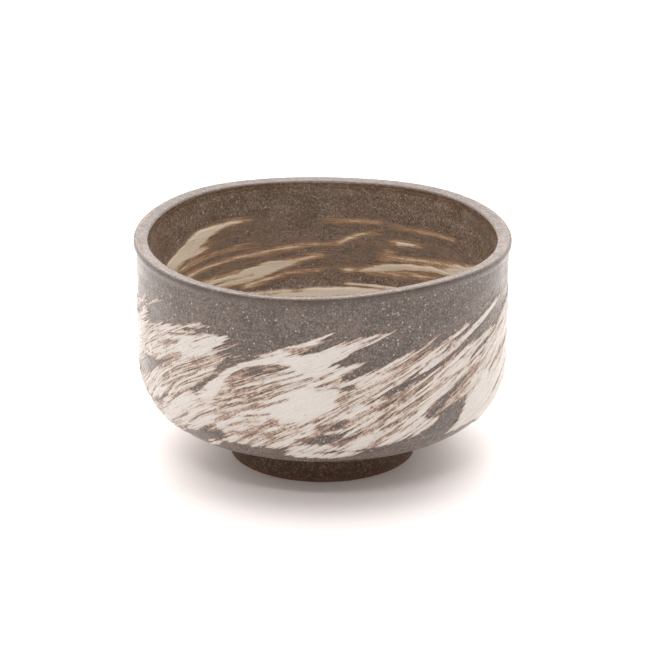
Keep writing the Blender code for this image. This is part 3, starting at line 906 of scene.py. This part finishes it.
def slip_piece(name, marks, wipes, side, load, finish, seed, step_round):
    """One stroke of slip as a closed skin that swells out of the clay and dips under it at its edge.

    x is the distance round the wall. y is the distance up it to the lip's crest, so it is negative.
    load is how far a full coat stands off the clay.
    """
    def to_y(angle, height):
        share = smooth(WANDER_START, RIM_HEIGHT, height)
        height = height - share * wave(HEIGHT_WAVES, angle)
        return -run_outside(height) if side == OUTSIDE else run_inside(height)

    steep = STEEPER.get(name, 1.0)
    places = [(station[0], edge) for mark in marks for station in mark for edge in station[1:3]]
    lines = [line_of(angle * ROUND_MM, to_y(angle, edge), side, steep) for angle, edge in places]
    ends = [angle * ROUND_MM for angle, _ in places]
    x_axis = np.arange(min(ends) - 6, max(ends) + 6, step_round)
    line_axis = np.arange(min(lines) - 2.5, max(lines) + 2.5, LINE_STEP / steep)
    x, line = np.meshgrid(x_axis, line_axis, indexing="ij")
    y = height_on_line(x, line, side, steep)
    cover, across = coverage(x, y, marks, wipes, side, to_y, seed, steep)
    lowest = -run_outside(LOWEST_OUTSIDE) if side == OUTSIDE else run_inside(LOWEST_INSIDE)
    cover = np.where((y < -BARE_LIP) & (y > lowest), cover, NO_SLIP)
    used, faces = closed_skin(np.maximum.reduce(corners(cover)) > FILM_EDGE)
    thick = load * smooth(0.05, 1.0, cover) + 0.02 + 0.25 * np.clip(cover - 0.05, FILM_EDGE - 0.1, 0)
    angle = x[used] / ROUND_MM
    run = -side * y[used]
    top = body_points(angle, run, thick[used])
    under = body_points(angle, run, np.full(run.shape, -BURIED))
    if side == INSIDE:
        faces = [face[::-1] for face in faces]
    values = {"cover": cover, "along": x, "across": across}
    doubled = {key: np.concatenate([value[used]] * 2) for key, value in values.items()}
    made = mesh_object(name + "_coat", np.concatenate([top, under]), faces, finish, doubled)
    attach(made, "root")
    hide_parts(name)


COAT_COLUMNS = 300
COAT_TOP = 37.3
COAT_BURIED = 0.25


def make_floor_coat():
    """The coat that fills the bottom of the bowl, brushed round in a spiral up to a ragged edge."""
    last = run_inside(COAT_TOP + 4)
    runs = np.arange(body_profile.even[0] + 0.6, last, 0.7)
    run, angle = lathe_grid(runs, COAT_COLUMNS)
    turn = TURN * angle / 360
    edge = run_inside(COAT_TOP - 0.7) + 0.9 * np.cos(2 * turn - 5.2) + 0.5 * np.cos(5 * turn - 1.2)
    edge = edge + 1.2 * (soft_noise(angle / 7, 0 * run, 11) - 0.5)
    edge = edge + 0.5 * (soft_noise(angle / 1.8, 0 * run, 12) - 0.5)
    ring = 0.5 + 0.5 * np.sin(TURN * (run / 2.1 + angle / 360) + 1.3 * np.sin(3 * turn + run / 7))
    fine = 0.5 + 0.5 * np.sin(TURN * (run / 0.93 + 2 * angle / 360) + 2.0 * np.sin(2 * turn + run / 5))
    streak = 0.6 * ring + 0.4 * fine
    cover = np.minimum((edge - run) / 1.5 + 1.2 * (streak - 0.5), 1.0) + 0.6 * (streak - 0.5)
    cover = cover - 0.35 * (0.5 + 0.5 * np.sin(turn * 3 + run / 9))
    thick = 0.26 * (1 - np.exp(-1.8 * np.maximum(cover, 0))) + np.clip(cover, -0.4, 0) * 0.3
    top = body_points(angle, run, thick).reshape(-1, 3)
    under = body_points(angle, run, np.full(run.shape, -COAT_BURIED)).reshape(-1, 3)
    rows = len(runs)
    total = rows * COAT_COLUMNS
    centre_height = (FLOOR_HEIGHT + 0.2) * MM
    points = np.concatenate([top, under, [[0, 0, centre_height], [0, 0, (FLOOR_HEIGHT - COAT_BURIED) * MM]]])
    faces = lathe_faces(rows, COAT_COLUMNS, 0)
    faces += [face[::-1] for face in lathe_faces(rows, COAT_COLUMNS, total)]
    edge_row = (rows - 1) * COAT_COLUMNS
    for column, after in neighbours(COAT_COLUMNS):
        faces.append((2 * total, column, after))
        faces.append((2 * total + 1, total + after, total + column))
        near, far = edge_row + column, edge_row + after
        faces.append((near, total + near, total + far, far))
    values = {"cover": (cover, 1), "along": (angle * ROUND_MM, 0), "across": (run, 0)}
    doubled = {key: np.concatenate([value.ravel()] * 2 + [[end] * 2]) for key, (value, end) in values.items()}
    made = mesh_object("inner_slip_floor_coat_brushed", points, faces, inner_slip_finish, doubled)
    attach(made, "root")
    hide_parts("inner_slip_floor_coat")


OUTER_LOAD = 0.32
INNER_LOAD = 0.22
OUTER_SEED = 100
INNER_SEED = 200
OUTER_STEP = 0.75
INNER_STEP = 0.9


def make_slip():
    for name, marks in OUTER_MARKS.items():
        slip_piece(name, marks, OUTER_WIPES, OUTSIDE, OUTER_LOAD, outer_slip_finish, OUTER_SEED, OUTER_STEP)
    for name, marks in INNER_MARKS.items():
        slip_piece(name, marks, INNER_WIPES, INSIDE, INNER_LOAD, inner_slip_finish, INNER_SEED, INNER_STEP)
    make_floor_coat()


make_slip()


# ---------------------------------------------------------------- stage, light and camera

FLOOR_HALF = 3.0


def make_floor():
    finish, _, surface = new_material("pale floor")
    surface["Base Color"].default_value = (*FLOOR_COLOUR, 1)
    surface["Roughness"].default_value = 0.7
    mesh = bpy.data.meshes.new("floor")
    corners = [(FLOOR_HALF * x, FLOOR_HALF * y, 0) for x, y in ((-1, -1), (1, -1), (1, 1), (-1, 1))]
    mesh.from_pydata(corners, [], [(0, 1, 2, 3)])
    mesh.materials.append(finish)
    floor = bpy.data.objects.new("floor", mesh)
    bpy.context.scene.collection.objects.link(floor)


def area_light(name, place, target, size, power):
    data = bpy.data.lights.new(name, "AREA")
    data.shape = "RECTANGLE"
    data.size, data.size_y = size
    data.energy = power
    made = bpy.data.objects.new(name, data)
    made.location = place
    toward = [b - a for a, b in zip(place, target)]
    flat = math.hypot(toward[0], toward[1])
    made.rotation_euler = (math.atan2(flat, -toward[2]), 0, math.atan2(-toward[0], toward[1]))
    bpy.context.scene.collection.objects.link(made)


def make_lights():
    """A light tent, brighter behind and at the sides, with narrow lamps that glint in the glaze.

    Each lamp has its place, the point that it faces, its width and height in metres, and its watts.
    """
    area_light("top_softbox", (0.0, 0.3, 1.6), (0, 0, 0.03), (2.8, 2.4), 25)
    area_light("front_strip", (-0.15, -1.1, 1.25), (0, 0, 0.05), (0.7, 0.09), 5.5)
    area_light("back_strip", (-0.15, 1.5, 1.2), (0, 0, 0.07), (1.0, 0.12), 1.4)
    area_light("low_back_strip", (-0.12, 1.5, 0.62), (0, 0, 0.07), (0.9, 0.05), 0.6)
    world = bpy.data.worlds.new("light tent")
    world.use_nodes = True
    tree = Tree(world.node_tree)
    view = tree.node("SeparateXYZ", Vector=tree.node("TexCoord").outputs["Generated"]).outputs
    back = tree.node("MapRange", Value=view["Y"])
    for name, value in (("From Min", -0.35), ("From Max", 0.75), ("To Min", 0.75), ("To Max", 1.95)):
        back.inputs[name].default_value = value
    slope = tree.math("MULTIPLY_ADD", view["X"], 0.3, -0.05)
    sides = tree.math("MULTIPLY_ADD", view["X"], slope, 1.0)
    glow = tree.nodes["Background"].inputs
    tree.feed(glow["Strength"], tree.times(back.outputs[0], sides))
    tree.feed(glow["Color"], tree.ramp(view["Z"], [(0.0, (1, 0.865, 0.79)), (0.35, (1, 0.99, 0.985))]))
    bpy.context.scene.world = world


CAMERA_PLACE = (0, -0.800, 0.3324)
CAMERA_DIP = 19.895  # degrees that it looks down
CAMERA_LENS = 148.2


def make_camera():
    data = bpy.data.cameras.new("camera")
    data.lens = CAMERA_LENS
    made = bpy.data.objects.new("camera", data)
    made.location = CAMERA_PLACE
    made.rotation_euler = (math.radians(90 - CAMERA_DIP), 0, 0)
    bpy.context.scene.collection.objects.link(made)
    bpy.context.scene.camera = made


make_floor()
make_lights()
make_camera()
bpy.context.scene.view_settings.view_transform = "Standard"
